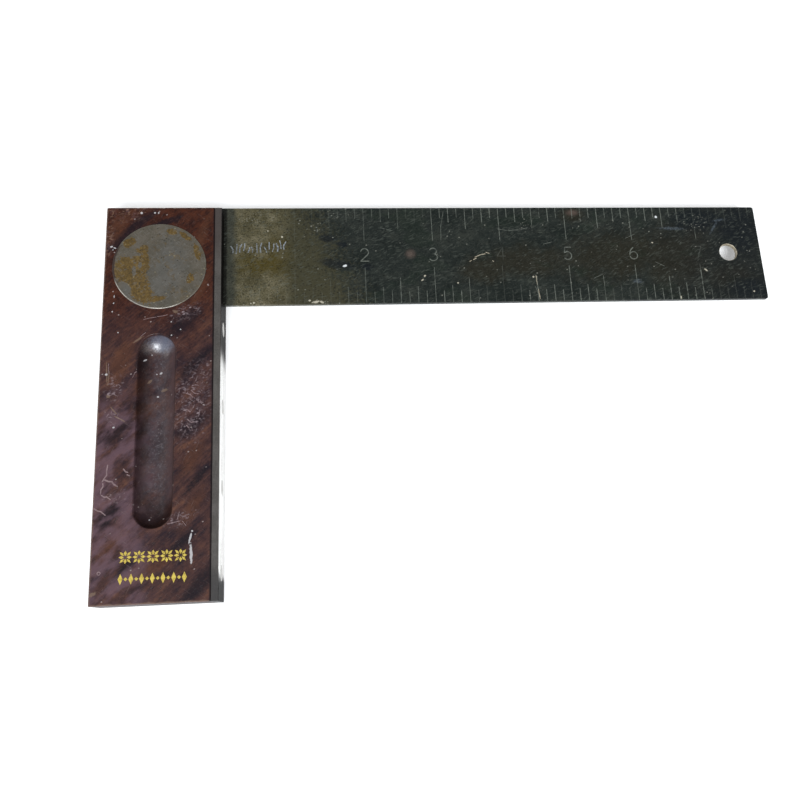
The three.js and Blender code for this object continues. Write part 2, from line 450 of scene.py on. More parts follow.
def wood_figure(g):
    """Red-brown wood with dark streaks along the grain, redder near the blade."""
    broad = g.noise((20, 4, 8), GRAIN, detail=5, roughness=0.65)
    fibre = g.noise((4, 0.8, 2), GRAIN, detail=5, roughness=0.75, shift=12)
    cloud = g.noise(2.6, detail=5, roughness=0.7, shift=63)
    g.colour = g.colours(
        g.plus(g.times(broad, 0.5), g.times(fibre, 0.26), g.times(cloud, 0.24)),
        (0.38, (0.012, 0.008, 0.014)),
        (0.46, (0.032, 0.0155, 0.017)),
        (0.54, (0.06, 0.027, 0.023)),
        (0.64, (0.108, 0.048, 0.031)),
    )
    redder = g.border(g.y, 30, 58, 14, 12)
    figure = g.ramp(g.plus(g.times(fibre, 0.5), g.times(cloud, 0.5)), 0.36, 0.62)
    red = g.mix(figure, (0.015, 0.0036, 0.002), (0.06, 0.015, 0.005))
    g.cover(red, redder, 0.82)
    fray = g.plus(g.swing(0.55, (9, 2.5, 4), degrees=GRAIN, shift=31), g.swing(0.4, 0.9, detail=3))
    dark = g.patches(DARK_STREAKS, 0.45, fray)
    g.cover((0.0075, 0.0052, 0.0088), dark, 0.8)
    light = g.patches(LIGHT_STREAKS, 0.55, fray)
    g.cover((0.08, 0.031, 0.016), light, 0.55)


def wood_grain(g):
    """Fine light and dark grain with open pores, and a painted reflection of the lacquer's sheen at the
    lower left.
    """
    grit = g.noise(0.5, detail=3, roughness=0.8, shift=44)
    g.cover((0.098, 0.047, 0.04), g.ramp(grit, 0.54, 0.74, 0, 0.36))
    g.cover((0.006, 0.0036, 0.0045), g.ramp(grit, 0.46, 0.28, 0, 0.6))
    pores = g.most(g.flecks(1.9, 0.44, GRAIN, 0.4, 9), g.flecks(1.3, 0.46, GRAIN + 25, 0.4, 71))
    g.cover((0.0055, 0.0034, 0.0044), pores, 0.36)
    fibres = g.flecks(1.9, 0.42, GRAIN - 6, 0.35, 5)
    g.cover((0.105, 0.048, 0.034), fibres, 0.24)
    lower = g.border(g.y, 26, 6, 10, 9)
    left = g.times(lower, g.border(g.x, -18, -29, 5, 6, shift=8))
    # painted reflection: a pale purple-grey sheen painted over the lower left of the face
    painted_sheen = g.times(left, g.ramp(g.noise((9, 4, 5), GRAIN, detail=5, shift=77), 0.38, 0.6))
    g.cover((0.125, 0.074, 0.092), painted_sheen, 0.65)
    return grit, pores


def groove_tones(g):
    """The finger groove: grey and speckled along its middle, with painted shade on its left wall and at its
    lower end, and painted light on its right wall.
    """
    cloudy = g.ramp(g.noise(2.4, detail=5, roughness=0.7, shift=14), 0.4, 0.62)
    sunk = g.times(g.ramp(g.z, FACE_Z - 1.4, FACE_Z - 3.8), g.ramp(g.y, -24, -14), cloudy)
    g.cover((0.07, 0.062, 0.072), sunk, 0.36)
    hollow = g.ramp(g.z, FACE_Z - 0.2, FACE_Z - 1.2)
    # painted shade: the groove's left wall and its lower end are painted dark
    left_wall_shade = g.times(hollow, g.border(g.x, PLATE_X - 1.5, PLATE_X - 5, 1.2, 3))
    lower_end_shade = g.times(hollow, g.border(g.y, GROOVE_FOOT + 13, GROOVE_FOOT + 5, 2, 3))
    g.cover((0.01, 0.0045, 0.0042), g.most(left_wall_shade, lower_end_shade), 0.65)
    # painted light: the groove's right wall above its lower end is painted lighter
    right_wall_light = g.border(g.x, PLATE_X + 2, PLATE_X + 5.5, 1.2, 3)
    above_end = g.ramp(g.y, GROOVE_FOOT + 6, GROOVE_FOOT + 13)
    g.cover((0.1, 0.068, 0.072), hollow, right_wall_light, above_end, 0.55)
    along = [(PLATE_X + 0.4, 27, 9, 1.8, 90), (PLATE_X + 0.6, 0, 17, 3, 90)]
    middle = g.patches(along, 0.7, (0.8, 3), (0.5, 0.8))
    speckle = g.ramp(g.noise(0.8, detail=3, roughness=0.85, shift=29), 0.52, 0.66)
    g.cover((0.088, 0.074, 0.082), middle, hollow, 0.26)
    g.cover((0.15, 0.132, 0.145), middle, hollow, speckle, 0.5)
    return hollow


def wood_wear(g):
    """Scratches, scuffs, worn spots and edges, dust and paint. Gives the masks of all of these."""
    rubbed = g.patches(SCUFFED, 0.5, (0.5, 4), (0.4, 1.2))
    hairs = g.times(g.strokes(2.2, 0.7, 0.61, 24, -22, 68, shift=17), 0.6)
    marks = g.most(hairs, g.flecks(1.4, 0.8, 20, 0.34, 3))
    marks = g.times(marks, g.ramp(g.noise(2.2, detail=3, shift=93), 0.36, 0.6, 0.3, 1))
    smudged = g.times(rubbed, g.ramp(g.noise(1.8, detail=5, roughness=0.75, shift=39), 0.46, 0.64))
    g.cover((0.11, 0.074, 0.082), smudged, 0.35)
    scuffs = g.times(marks, rubbed)
    scratches = g.strokes(6, 0.24, 0.69, 66, -35, shift=51)
    worn = g.patches(WORN_SPOTS, 0.3, (0.9, 0.9, 5), (0.6, 0.4))
    ragged = g.swing(0.55, 1.6, shift=88)
    edges = g.most(
        g.ramp(g.plus(g.x, ragged), STOCK_LOW.x + 0.75, STOCK_LOW.x + 0.25),
        g.ramp(g.plus(g.y, ragged), STOCK_LOW.y + 0.7, STOCK_LOW.y + 0.2),
        g.ramp(g.plus(g.y, ragged), STOCK_HIGH.y - 0.35, STOCK_HIGH.y - 0.05),
    )
    beside = g.ramp(g.plus(g.math("ABSOLUTE", g.z), g.times(ragged, 0.6)), FACE_Z - 1, FACE_Z - 0.3)
    edges = g.times(edges, beside)
    dust = g.flecks(0.8, 0.6, 30, 0.012, 13)
    g.cover((0.175, 0.12, 0.085), worn, 0.65)
    g.cover((0.165, 0.105, 0.078), edges, 0.6)
    g.cover((0.17, 0.13, 0.12), scratches, 0.3)
    pale = g.mix(g.ramp(g.y, 55, 65), (0.255, 0.2, 0.215), (0.23, 0.14, 0.095))
    g.cover(pale, scuffs, 0.8)
    g.cover((0.3, 0.25, 0.24), dust, 0.75)
    seam = g.ramp(g.x, STOCK_HIGH.x - 0.7, STOCK_HIGH.x - 0.25)
    g.cover((0.004, 0.0035, 0.005), seam, 0.85)
    paint = g.patches(PAINT_MARKS, 0.2, (0.7, 0.8, 4), (0.5, 0.35))
    g.cover((0.45, 0.44, 0.45), paint, 0.85)
    return scratches, scuffs, (worn, edges, dust, paint)


def rosewood(name, bare=0):
    """Dark rosewood under worn lacquer. Bare is how far it is scraped to pale dry wood."""
    g = Graph(name)
    wood_figure(g)
    grit, pores = wood_grain(g)
    hollow = groove_tones(g)
    scratches, scuffs, dulled = wood_wear(g)
    if bare:
        dry = g.ramp(g.noise(0.9, shift=6), 0.32, 0.62, bare * 0.5, bare)
        g.cover((0.25, 0.18, 0.185), dry)

    dull = g.most(scuffs, *dulled)
    roughness = g.plus(g.ramp(grit, 0.3, 0.7, 0.42, 0.58), g.times(dull, 0.2))
    height = g.plus(g.times(grit, 0.8), g.times(pores, -0.8), g.times(scratches, -0.6))
    height = g.plus(height, g.times(scuffs, -0.5), g.swing(1.1, 3.2, detail=2, shift=71))
    pool = g.times(hollow, g.patches([(PLATE_X, GROOVE_TOP - 1, 7.5, 5.5)], 0.35, (0.25, 2)))
    # painted highlight: a bluish-white patch painted on the groove's upper end, where the lamp's reflection
    # falls
    painted_highlight = g.times(hollow, g.patches([(PLATE_X + 1.6, GROOVE_TOP - 2.4, 4.2, 2.4)], 0.6, (0.6, 0.9)))
    g.cover((0.15, 0.18, 0.25), painted_highlight, 0.5)
    lacquer = g.plus(g.times(pool, g.ramp(grit, 0.38, 0.62, 0.45, 1.05), 0.88), 0.12)
    sheen = g.ramp(pool, 0, 1, 0.3, 0.34)
    coat = {"Coat_Weight": lacquer, "Coat_Roughness": sheen, "Coat_IOR": 1.95}
    return g.finish(roughness, g.bump(height, 0.03), Specular_IOR_Level=0.08, **coat)


# Ellipses on the stock's front: x, y, half length, half width, degrees; see ellipse()
DARK_STREAKS = [
    (-26.5, 29, 4.2, 1.7, 80), (-34, 4, 9, 2.6, 40), (-35, -23, 7, 2, 52), (-26, 14, 4, 1.4, 50),
    (-5, -45, 9, 2.4, 48), (-7, -12, 6, 1.2, 52), (-9, 6, 6, 2.4, 40), (-12, -33, 7, 1.6, 44),
    (-31, 77, 12, 2, 44), (-12, 43, 8, 2.6, 40), (-9, 27, 7, 2, 46), (-21, -1, 6, 3, 80),
    (-27, -37, 8, 1.5, 55), (-20, 80, 7, 1.2, 20),
]
LIGHT_STREAKS = [
    (-26, 20.5, 3.6, 1.8, 68), (-34, -33, 7, 2.2, 62), (-25, 13, 5, 2, 70), (-33, 28, 8, 3, 75),
    (-9, -5, 6, 2.4, 60), (-9, -22, 7, 2, 60), (-7, 55, 6, 1.5, 65), (-36, 78, 7, 2.4, 60),
    (-20, -40, 8, 1.4, 35), (-8, 72, 11, 1.6, 70),
]
SCUFFED = [
    (-9, 14, 5.5, 13, -8), (-12.5, -25, 4.5, 2.4, 15), (-35, 19, 2.4, 4.5, -15), (-12, 46, 5, 2.6, 25),
    (-35, 9, 3, 2.2, -30), (-32, 84, 8, 3.2, 10), (-38.5, 74, 1.5, 6), (-33, -17, 4, 2, 20),
]
WORN_SPOTS = [
    (-37.4, 24.6, 0.22, 3.6, 3), (-36.7, 23, 0.16, 3, -4), (-36.6, 16.6, 0.55, 0.5),
    (-34.6, 11.6, 1.6, 0.22, -50), (-32.6, 8.8, 2.2, 0.22, -30), (-27.5, 36.4, 1.8, 0.3, 35),
    (-15.4, 46.3, 1, 0.6, -20), (-24, 22.6, 0.9, 0.35, 50), (-19.1, 19.5, 1, 0.5, 10),
    (-38.6, -47.5, 1.2, 0.6, 20),
]
PAINT_MARKS = [
    (-20.5, 25.6, 0.42, 0.34, 20), (-21.9, 25.3, 0.22, 0.2), (-25.6, 29.9, 0.6, 0.24, 40),
    (-23.6, 32.1, 0.2), (-21.3, 17.3, 0.36, 0.26), (-34.4, 5.9, 0.32, 0.26, -20),
    (-37.5, 24.2, 0.46, 0.4), (-16.5, 37.7, 0.24, 0.22), (-13.5, 39.8, 0.22, 0.2), (-34.3, 39, 0.22, 0.2),
    (-16.7, 42.6, 0.22, 0.18), (-36.2, 49.7, 0.24), (-36.5, 46.6, 0.22), (-36.1, 52.2, 0.16, 0.44),
    (-15.9, 50.4, 0.46, 0.34, -20), (-37.8, 70.8, 0.5, 0.3, 10), (-36.6, 70.3, 0.55, 0.22, -20),
    (-35.5, 70.1, 0.3, 0.18), (-37.2, 69.6, 0.22, 0.18), (-22.7, -24.4, 0.22, 0.2),
    (-9.1, -31.3, 1.7, 0.32, 76), (-8.7, -35.9, 3.1, 0.42, 93), (-8.5, -28.9, 0.3), (-27.9, 83.8, 0.36),
    (-23.3, 83.8, 0.36), (-22, 83.8, 0.28),
]


def patina(g):
    """Dark grey-green steel, browned in places and darker at its free end."""
    grit = g.noise(0.55, detail=3, roughness=0.8, shift=8)
    cloud = g.plus(g.noise((12, 8, 8), detail=6, roughness=0.65), g.times(grit, 0.4))
    g.colour = g.colours(
        cloud,
        (0.56, (0.0097, 0.0135, 0.0122)),
        (0.72, (0.0169, 0.0212, 0.019)),
        (0.88, (0.0279, 0.0322, 0.027)),
    )
    brown = g.patches(BROWNED, 0.6, (0.7, 8), (0.5, 1.2))
    g.cover((0.0203, 0.0178, 0.0108), brown, 0.7)
    green = g.ramp(g.noise((16, 9, 9), shift=62), 0.54, 0.66)
    g.cover((0.0135, 0.0216, 0.0149), green, 0.4)
    end = g.border(g.x, 150, 194, 6, 7, shift=19)
    g.cover((0.0098, 0.0108, 0.0118), end, 0.55)
    return grit


def olive_stain(g, grit):
    """A pale olive and amber stain that ends in a ragged slant, with shadow along the stock."""
    lean = g.times(g.math("SUBTRACT", g.y, BLADE_MIDDLE_Y), 0.42)
    reach = g.plus(g.x, lean, g.swing(5, 8, detail=5), g.swing(16, 0.9, detail=3, shift=15))
    stained = g.colours(
        g.plus(g.noise(6, detail=5, roughness=0.6, shift=27), g.about_zero(grit, 0.8)),
        (0.36, (0.056, 0.049, 0.024)),
        (0.52, (0.1, 0.088, 0.05)),
        (0.7, (0.175, 0.156, 0.102)),
    )
    amber = g.patches([(19, 66.5, 16, 4, -4), (26, 73, 8, 6)], 0.7, (0.6, 5), (0.4, 0.8))
    stained = g.mix(g.times(amber, 0.8), stained, (0.052, 0.038, 0.004))
    olive = g.mix(g.border(g.x, 17, 27, 3, 5, shift=4), stained, (0.046, 0.0432, 0.0244))
    g.cover(olive, g.ramp(reach, 48, 30))
    by_stock = g.border(g.x, 5.4, 2.6, 1.2, 3, shift=33)
    g.cover((0.0284, 0.0331, 0.0284), by_stock, 0.8)
    corner = g.border(g.x, 1.5, 0.7, 0.3, 2, shift=3)
    g.cover((0.0041, 0.0041, 0.0038), corner, 0.8)
    blots = g.patches(DARK_BLOTS, 0.4, (0.5, 2.4), (0.4, 0.7))
    g.cover((0.0061, 0.0089, 0.0119), blots, 0.75)


def fine_marks(g, grit):
    """Pale and dark grit, hair scratches, dents and pale dots. Gives the scratches and the dents."""
    g.cover((0.0978, 0.0978, 0.0759), g.ramp(grit, 0.55, 0.78, 0, 0.45))
    g.cover((0.0032, 0.0041, 0.0037), g.ramp(grit, 0.45, 0.28, 0, 0.6))
    thicker = g.ramp(g.noise(7, shift=91), 0.36, 0.62, 0.4, 1)
    fine = g.most(g.flecks(3, 0.44, 22, 0.4, 2), g.flecks(2.6, 0.42, 6, 0.28, 31))
    fine = g.most(fine, g.flecks(2.6, 0.42, 40, 0.35, 57))
    long = g.strokes(8, 0.22, 0.7, 6, 61, shift=52)
    g.cover((0.08, 0.09, 0.076), fine, thicker, 0.5)
    g.cover((0.115, 0.125, 0.11), long, 0.3)
    dents = g.most(g.flecks(1.2, 0.5, 15, 0.35, 83), g.flecks(0.9, 0.6, -30, 0.3, 47))
    g.cover((0.0034, 0.0044, 0.0039), dents, 0.55)
    crowd = g.times(g.flecks(0.9, 0.45, 10, 0.3, 5), g.patches(SPECK_CROWDS, 0.4, (0.5, 1)))
    dots = g.most(g.flecks(0.8, 0.6, 20, 0.014, 17), crowd)
    g.cover((0.23, 0.23, 0.1955), dots, 0.7)
    return fine, dents


def blade_spots(g, grit):
    """Smears, rust, bright chips and glints where the photo shows them."""
    ragged = g.plus(g.swing(0.8, 0.8), g.swing(0.6, 0.35))
    smears = g.times(g.patches(SMEARS, 0.5, (0.6, 1.1), ragged), g.ramp(grit, 0.34, 0.6))
    g.cover((0.092, 0.1127, 0.1323), smears, 0.6)
    rust = g.patches(RUST_SPOTS, 0.8, g.times(ragged, 0.6))
    g.cover((0.125, 0.088, 0.074), rust, 0.55)
    chips = g.patches(BRIGHT_CHIPS, 0.3, ragged)
    g.cover((0.483, 0.4485, 0.3565), chips, 0.85)
    glints = g.patches(GLINTS, 0.3, (0.5, 0.5))
    g.cover((0.644, 0.667, 0.6785), glints)


def blade_steel(name, scored=0):
    """The blade's steel. Scored is how pale the metal of a scored line is."""
    g = Graph(name)
    grit = patina(g)
    olive_stain(g, grit)
    fine, dents = fine_marks(g, grit)
    blade_spots(g, grit)
    if scored:
        faint = g.patches(FAINT_LINES, 0.4)
        clear = g.times(g.ramp(g.x, 25, 85, 0.16, 1), g.ramp(faint, 0, 1, 1, 0.28))
        clear = g.most(clear, g.patches([(2 * INCH, BLADE_MIDDLE_Y, 3, 4)], 0.3))
        broken = g.ramp(g.noise(1.6, shift=44), 0.3, 0.58, 0.25, 1)
        g.cover((0.19, 0.205, 0.178), clear, broken, scored)

    roughness = g.ramp(g.noise(3, detail=5, shift=55), 0.3, 0.7, 0.3, 0.42)
    height = g.plus(g.times(grit, 1), g.swing(0.7, 2.4, detail=3, shift=6))
    height = g.plus(height, g.times(fine, -0.5), g.times(dents, -0.6))
    return g.finish(roughness, g.bump(height, 0.02), Metallic=0.1, Specular_IOR_Level=0.2)


# Ellipses on the blade's front, in the same form
BROWNED = [
    (112, 67, 15, 6), (146, 69, 20, 9, 4), (168, 68, 14, 11), (190, 60, 9, 5), (95, 64, 9, 5),
    (130, 86, 5, 3),
]
DARK_BLOTS = [
    (40.5, 66.5, 5.5, 1.9, -12), (37.2, 77, 3, 1.4, -10), (42.8, 74.4, 1.8, 1.1), (51.5, 65.4, 2.4, 1.3),
    (196, 80, 8, 9), (180, 84, 12, 4), (196, 55, 8, 4),
]
SPECK_CROWDS = [
    (39, 86.6, 3.4, 1.8, -8), (44, 86.8, 2, 1.4), (35, 52, 3.2, 1.2), (33, 81, 3.5, 2, 30),
    (12, 84, 6, 3), (112, 82, 3), (178, 82, 5, 4),
]
SMEARS = [
    (168.8, 80.2, 4.2, 0.6, -2), (152.7, 58.6, 1.6, 0.8), (185.5, 80.5, 3, 0.4, 55),
    (188, 83.6, 2.4, 0.4, 8),
]
RUST_SPOTS = [(67.7, 70.4, 1.5), (130.4, 87, 2, 1.1)]
BRIGHT_CHIPS = [
    (32.6, 51.9, 1.3, 0.42, 10), (34.8, 51.8, 0.7, 0.4, -20), (30.4, 52.5, 0.4, 0.3),
    (10.7, 51.9, 0.38, 0.36), (9.6, 51.7, 0.24), (20.9, 77.5, 0.34), (15.8, 80, 0.24), (72.6, 61.6, 0.38),
    (71.6, 60, 0.6, 0.25, 40), (84.6, 58.7, 0.34, 0.3), (179.9, 62.9, 0.75, 0.28, -40),
    (168.6, 51.9, 0.24, 0.7), (197.5, 54, 0.3), (113, 60.8, 0.34), (160.3, 74.3, 0.3),
]
GLINTS = [(43.5, 65.9, 0.75, 0.42, 15), (163.2, 85.1, 0.46)]
FAINT_LINES = [
    (100, 56, 9), (101.6, 70.2, 3, 5), (177.8, 70.2, 4, 6), (188, 84, 14, 9), (192, 56, 12, 9),
    (146, 55, 7, 5), (70, 86, 5),
]


def small_steel(g, tone, stain):
    """Worn grey steel for the small fittings, stained and gritty. Gives the grit."""
    grit = g.noise(0.5, detail=3, roughness=0.8, shift=14)
    cloud = g.plus(g.noise(6, detail=6, roughness=0.65, shift=3), g.about_zero(grit, 0.5))
    g.colour = g.mix(g.ramp(cloud, 0.34, 0.66), stain, tone)
    g.cover((0.19, 0.18, 0.165), g.ramp(grit, 0.54, 0.78, 0, 0.35))
    g.cover((0.015, 0.014, 0.012), g.ramp(grit, 0.45, 0.28, 0, 0.4))
    return grit


def strip_steel():
    """The facing strip: rubbed grey on its edges, and polished with use on its working face, which is
    painted near black towards the blade as painted shade, and near the foot as grime.
    """
    g = Graph("strip_finish")
    grit = small_steel(g, (0.088, 0.081, 0.075), (0.06, 0.055, 0.05))
    along = g.strokes(9, 0.24, 0.64, 90, 87, shift=4)
    g.cover((0.14, 0.135, 0.13), along, 0.3)
    ends = g.border(g.y, STOCK_LOW.y + 14, STOCK_LOW.y + 3, 6, 8)
    g.cover((0.026, 0.026, 0.028), ends, 0.65)
    browned = g.border(g.y, 58, 76, 8, 9, shift=2)
    g.cover((0.044, 0.033, 0.03), browned, 0.65)
    face = g.ramp(g.x, -0.14, -0.04)
    # painted shade: the working face is painted near black and made less glossy towards the blade, where it
    # lies in shade; near the foot the same dark stands for grime
    shade_and_grime = g.most(g.border(g.y, 24, 36, 3, 4), g.border(g.y, -40, -46, 3, 4))
    polished = g.times(face, g.ramp(shade_and_grime, 0, 1, 1, 0))
    g.cover((0.007, 0.006, 0.006), face, shade_and_grime)
    rubs = g.ramp(g.noise((16, 0.5, 3), 90, shift=18), 0.34, 0.62)
    bright = g.mix(rubs, (0.6, 0.59, 0.57), (0.84, 0.84, 0.82))
    g.cover(bright, polished, 0.95)
    height = g.plus(g.times(grit, 0.9), g.times(along, -0.6))
    roughness = g.plus(g.ramp(grit, 0.3, 0.7, 0.48, 0.6), g.times(polished, -0.28))
    metal = g.plus(g.times(polished, 0.75), 0.15)
    gloss = g.ramp(g.times(face, shade_and_grime), 0, 1, 0.3, 0.03)
    return g.finish(roughness, g.bump(height, 0.01), Metallic=metal, Specular_IOR_Level=gloss)


def pin_steel():
    """Pin heads filed flush with the facing strip."""
    g = Graph("pin_finish")
    grit = small_steel(g, (0.42, 0.41, 0.38), (0.3, 0.29, 0.27))
    filed = g.strokes(3, 0.12, 0.6, 0, shift=6)
    g.cover((0.2, 0.19, 0.17), filed, 0.4)
    return g.finish(g.ramp(grit, 0.3, 0.7, 0.24, 0.36), g.bump(grit, 0.01), Metallic=0.9)


def on_plate(side, *spots):
    """Spots that are given from the plate's centre, as seen on its own side, placed in the part."""
    rows = [ellipse(*spot) for spot in spots]
    return [(PLATE_X + side * x, PLATE_Y + y, a, b, side * degrees) for x, y, a, b, degrees in rows]


def lacquer_remains(g, side):
    """Ragged remains of amber lacquer, thick ones and a thin film. Gives the mask of the thick ones."""
    ragged = g.plus(g.swing(0.42, 2.6, detail=5, shift=3), g.swing(0.55, 0.7, detail=3, shift=5))
    kept = g.patches(on_plate(side, *LACQUER), 0.08, ragged)
    lost = g.patches(on_plate(side, *LACQUER_HOLES), 0.12, ragged)
    kept = g.times(kept, g.math("SUBTRACT", 1, lost))
    thin = g.ramp(g.noise(2.6, detail=6, roughness=0.72, shift=9), 0.53, 0.6)
    film = g.times(thin, g.patches(on_plate(side, (6, 5, 10, 11), (8, -6, 6, 7)), 0.3))
    lacquer = g.colours(
        g.noise(0.7, roughness=0.75, shift=29),
        (0.34, (0.052, 0.0338, 0.0091)),
        (0.52, (0.109, 0.064, 0.012)),
        (0.7, (0.18, 0.118, 0.03)),
    )
    g.cover(lacquer, film, 0.4)
    g.cover(lacquer, kept, 0.92)
    return kept


def plate_rim(g, side):
    """The plate's rim: a painted highlight, brightest on its lower-left side and smoother there from
    rubbing, with dark crust on one side. Gives the highlight's mask.
    """
    away = g.vector("LENGTH", g.local((PLATE_X, PLATE_Y, 0), (1, 1, FLAT)))
    edge = g.ramp(away, PLATE_RADIUS - 0.45, PLATE_RADIUS - 0.15)
    # painted highlight: the rim is painted bright, most of all on its lower-left side, where the lamp
    # catches it
    rubbed = g.patches(on_plate(side, (-6, -12, 13, 6, -22)), 0.3)
    patchy = g.ramp(g.noise(4, shift=12), 0.38, 0.6, 0.3, 0.6)
    rim = g.times(edge, patchy, g.ramp(rubbed, 0, 1, 0.15, 1.6))
    g.cover((0.48, 0.45, 0.4), rim)
    outer = g.border(away, PLATE_RADIUS - 0.9, PLATE_RADIUS - 0.5, 0.5, 1.6)
    crust = g.times(outer, g.patches(on_plate(side, (-PLATE_RADIUS, 2, 3, 9)), 0.3))
    g.cover((0.032, 0.016, 0.014), crust, 0.85)
    return rim


def plate_steel(name, side):
    """Grey steel with remains of lacquer. Side is +1 in front and -1 behind."""
    g = Graph(name)
    grit = small_steel(g, (0.118, 0.103, 0.081), (0.085, 0.074, 0.054))
    cool = [(PLATE_X + side * 3, PLATE_Y - 1, 6, 11, -10), (PLATE_X - side * 9, PLATE_Y - 10, 4, 3, -40)]
    g.cover((0.1014, 0.1053, 0.1027), g.patches(cool, 0.6, (0.7, 4)), 0.45)
    kept = lacquer_remains(g, side)
    scratches = g.most(g.flecks(2, 0.4, 35, 0.4, 5), g.flecks(1.8, 0.4, -48, 0.3, 77))
    g.cover((0.17, 0.17, 0.16), scratches, 0.35)
    g.cover((0.28, 0.24, 0.15), g.flecks(0.8, 0.7, 0, 0.03, 3), 0.6)
    pits = g.flecks(0.8, 0.7, 0, 0.1, 9)
    g.cover((0.018, 0.015, 0.01), pits, 0.6)
    rim = plate_rim(g, side)
    worn = g.ramp(g.noise(3, shift=2), 0.3, 0.7, 0.38, 0.52)
    roughness = g.plus(g.times(kept, 0.1), worn, g.times(rim, -0.12))
    height = g.plus(g.times(grit, 0.8), g.swing(0.7, 2.2), g.times(g.most(scratches, pits), -0.6))
    height = g.plus(height, g.times(kept, 0.8))
    return g.finish(roughness, g.bump(height, 0.02), Metallic=0.3)


# Remains of lacquer and the holes in them, in the same form, from the plate's centre
LACQUER = [
    (-11, -1.6, 4.6, 5), (-6.2, 1.4, 3, 5.6), (-6.6, -8, 3.8, 6.4, 22), (-2.2, -12.6, 4.6, 1.1, 8),
    (-10.4, 8.8, 2.4, 1.6, 35), (-5.6, 6.6, 1.6, 1.2, 20), (3.9, 13, 2, 1, -15),
    (8.6, 11.2, 2.6, 0.9, -40), (12.8, 5, 1, 3.4, 15), (10.6, -5, 1.3, 1.9, -15),
]
LACQUER_HOLES = [
    (-8.6, -2, 0.7, 2), (-6.6, 0.2, 0.6, 1.2), (-9, 4.6, 3, 0.8, -10), (-11.6, -8, 2.6, 1.6, -40),
]


def bare_steel():
    """Fresh bare steel in the scratches near the stock."""
    g = Graph("bare_steel")
    shine = g.noise(0.7, roughness=0.7)
    g.colour = g.mix(g.ramp(shine, 0.35, 0.62), (0.085, 0.092, 0.095), (0.29, 0.315, 0.345))
    return g.finish(g.ramp(shine, 0.3, 0.7, 0.35, 0.5), g.bump(shine, 0.01), Metallic=0.3)


def lit_hole_and_gouge_steel():
    """Bright steel: painted light on the wall of the hanging hole, and bare steel in the deepest gouges."""
    g = Graph("lit_hole_and_gouge_steel")
    shine = g.noise(0.9, roughness=0.7)
    g.colour = g.mix(g.ramp(shine, 0.35, 0.65), (0.24, 0.205, 0.145), (0.48, 0.43, 0.33))
    return g.finish(0.5, g.bump(shine, 0.01), Metallic=0.2)


def foil_gold():
    """Stamped gold foil, rubbed dull in places."""
    g = Graph("foil_gold")
    wear = g.noise(0.8, detail=5, roughness=0.75)
    g.colour = g.colours(
        wear,
        (0.32, (0.12, 0.075, 0.016)),
        (0.42, (0.42, 0.31, 0.04)),
        (0.62, (0.64, 0.5, 0.1)),
    )
    return g.finish(g.ramp(wear, 0.3, 0.7, 0.6, 0.4), g.bump(wear, 0.01), Metallic=0.15)


# ---------------- stock


def groove_profile(side):
    """Radius and height up the finger groove's wall, from its floor over a rounded rim."""
    half = GROOVE_WIDTH / 2
    radius = (half ** 2 + GROOVE_DEPTH ** 2) / (2 * GROOVE_DEPTH)
    above = radius - GROOVE_DEPTH
    rim_x = math.sqrt((radius + GROOVE_RIM) ** 2 - (above + GROOVE_RIM) ** 2)
    meet = math.atan2(rim_x, above + GROOVE_RIM)
    wall = [meet * (0.06 + 0.94 * i / 20) for i in range(21)]
    profile = [(radius * math.sin(t), above - radius * math.cos(t)) for t in wall]
    last = math.radians(12)
    for i in range(1, 6):
        turn = meet + (last - meet) * i / 5
        profile.append((rim_x - GROOVE_RIM * math.sin(turn), GROOVE_RIM * (math.cos(turn) - 1)))
    clear = 0.2
    end_x, end_z = profile[-1]
    profile.append((end_x + (clear - end_z) / math.tan(last), clear))
    return [(r, side * (FACE_Z + z)) for r, z in profile]


def rivet_rings(node, *levels):
    """Rings round a rivet's axis, each given as how far it lies inside the rivet's edge, and its height."""
    low, high = box_mm(node)
    middle = (low + high) / 2
    radius = (high.x - low.x) / 2
    return [circle(radius - inset, middle.x, middle.y, z, ROUND) for inset, z in levels]


def rivet_holes(low_z, high_z):
    holes = Solids()
    for node in RIVETS:
        holes.loft(rivet_rings(node, (-HAIRLINE, low_z), (-HAIRLINE, high_z)))
    return holes


def at(level, *values):
    """Whether all the values are at the level."""
    return all(abs(value - level) < NEAR for value in values)


def stock_wood():
    wood = rosewood("worn_rosewood")
    piece = Solids().block(STOCK_LOW, STOCK_HIGH).piece("stock_wood", wood)
    for edge, width, segments in ((STOCK_LOW.x, WOOD_EDGE, 4), (STOCK_HIGH.x, WOOD_SEAM_EDGE, 1)):
        soften_edges(piece, lambda a, b: at(edge, a.x, b.x) and not at(a.y, b.y), width, segments)
    for end in (STOCK_LOW.y, STOCK_HIGH.y):
        soften_edges(piece, lambda a, b: at(end, a.y, b.y), WOOD_END_EDGE, 3)

    hollow = Solids()
    groove_y = GROOVE_FOOT + GROOVE_LENGTH / 2
    straight = (GROOVE_LENGTH - GROOVE_WIDTH) / 2
    for side in (1, -1):
        hollow.loft([stadium(r, straight, PLATE_X, groove_y, z) for r, z in groove_profile(side)])
        seat = side * (PLATE_LOW.z - HAIRLINE)
        mouth = side * (FACE_Z + PAST)
        hollow.loft([circle(SEAT_RADIUS, PLATE_X, PLATE_Y, z, PLATE_ROUND) for z in (seat, mouth)])
    hollow.block((BLADE_LOW.x - SLOT_PLAY, BLADE_LOW.y, -SLOT_Z), (PAST, STOCK_HIGH.y + PAST, SLOT_Z))
    carve(piece, hollow, wood)

    carve(piece, rivet_holes(-PLATE_Z, PLATE_Z), wood)
    scored = Solids()
    for points, width in CRACKS:
        scored.scribe(points, CRACK_WIDENING * width, CRACK_DEPTH, FACE_Z, 1)
    dry = rosewood("bare_rosewood", bare=0.85)
    carve(piece, scored, wood, dry, crossing=True)
    carve(piece, edge_chips(), wood, dry)
    return dress(piece, "rosewood", "stock")


CRACK_WIDENING = 1.35
CRACK_DEPTH = 0.08
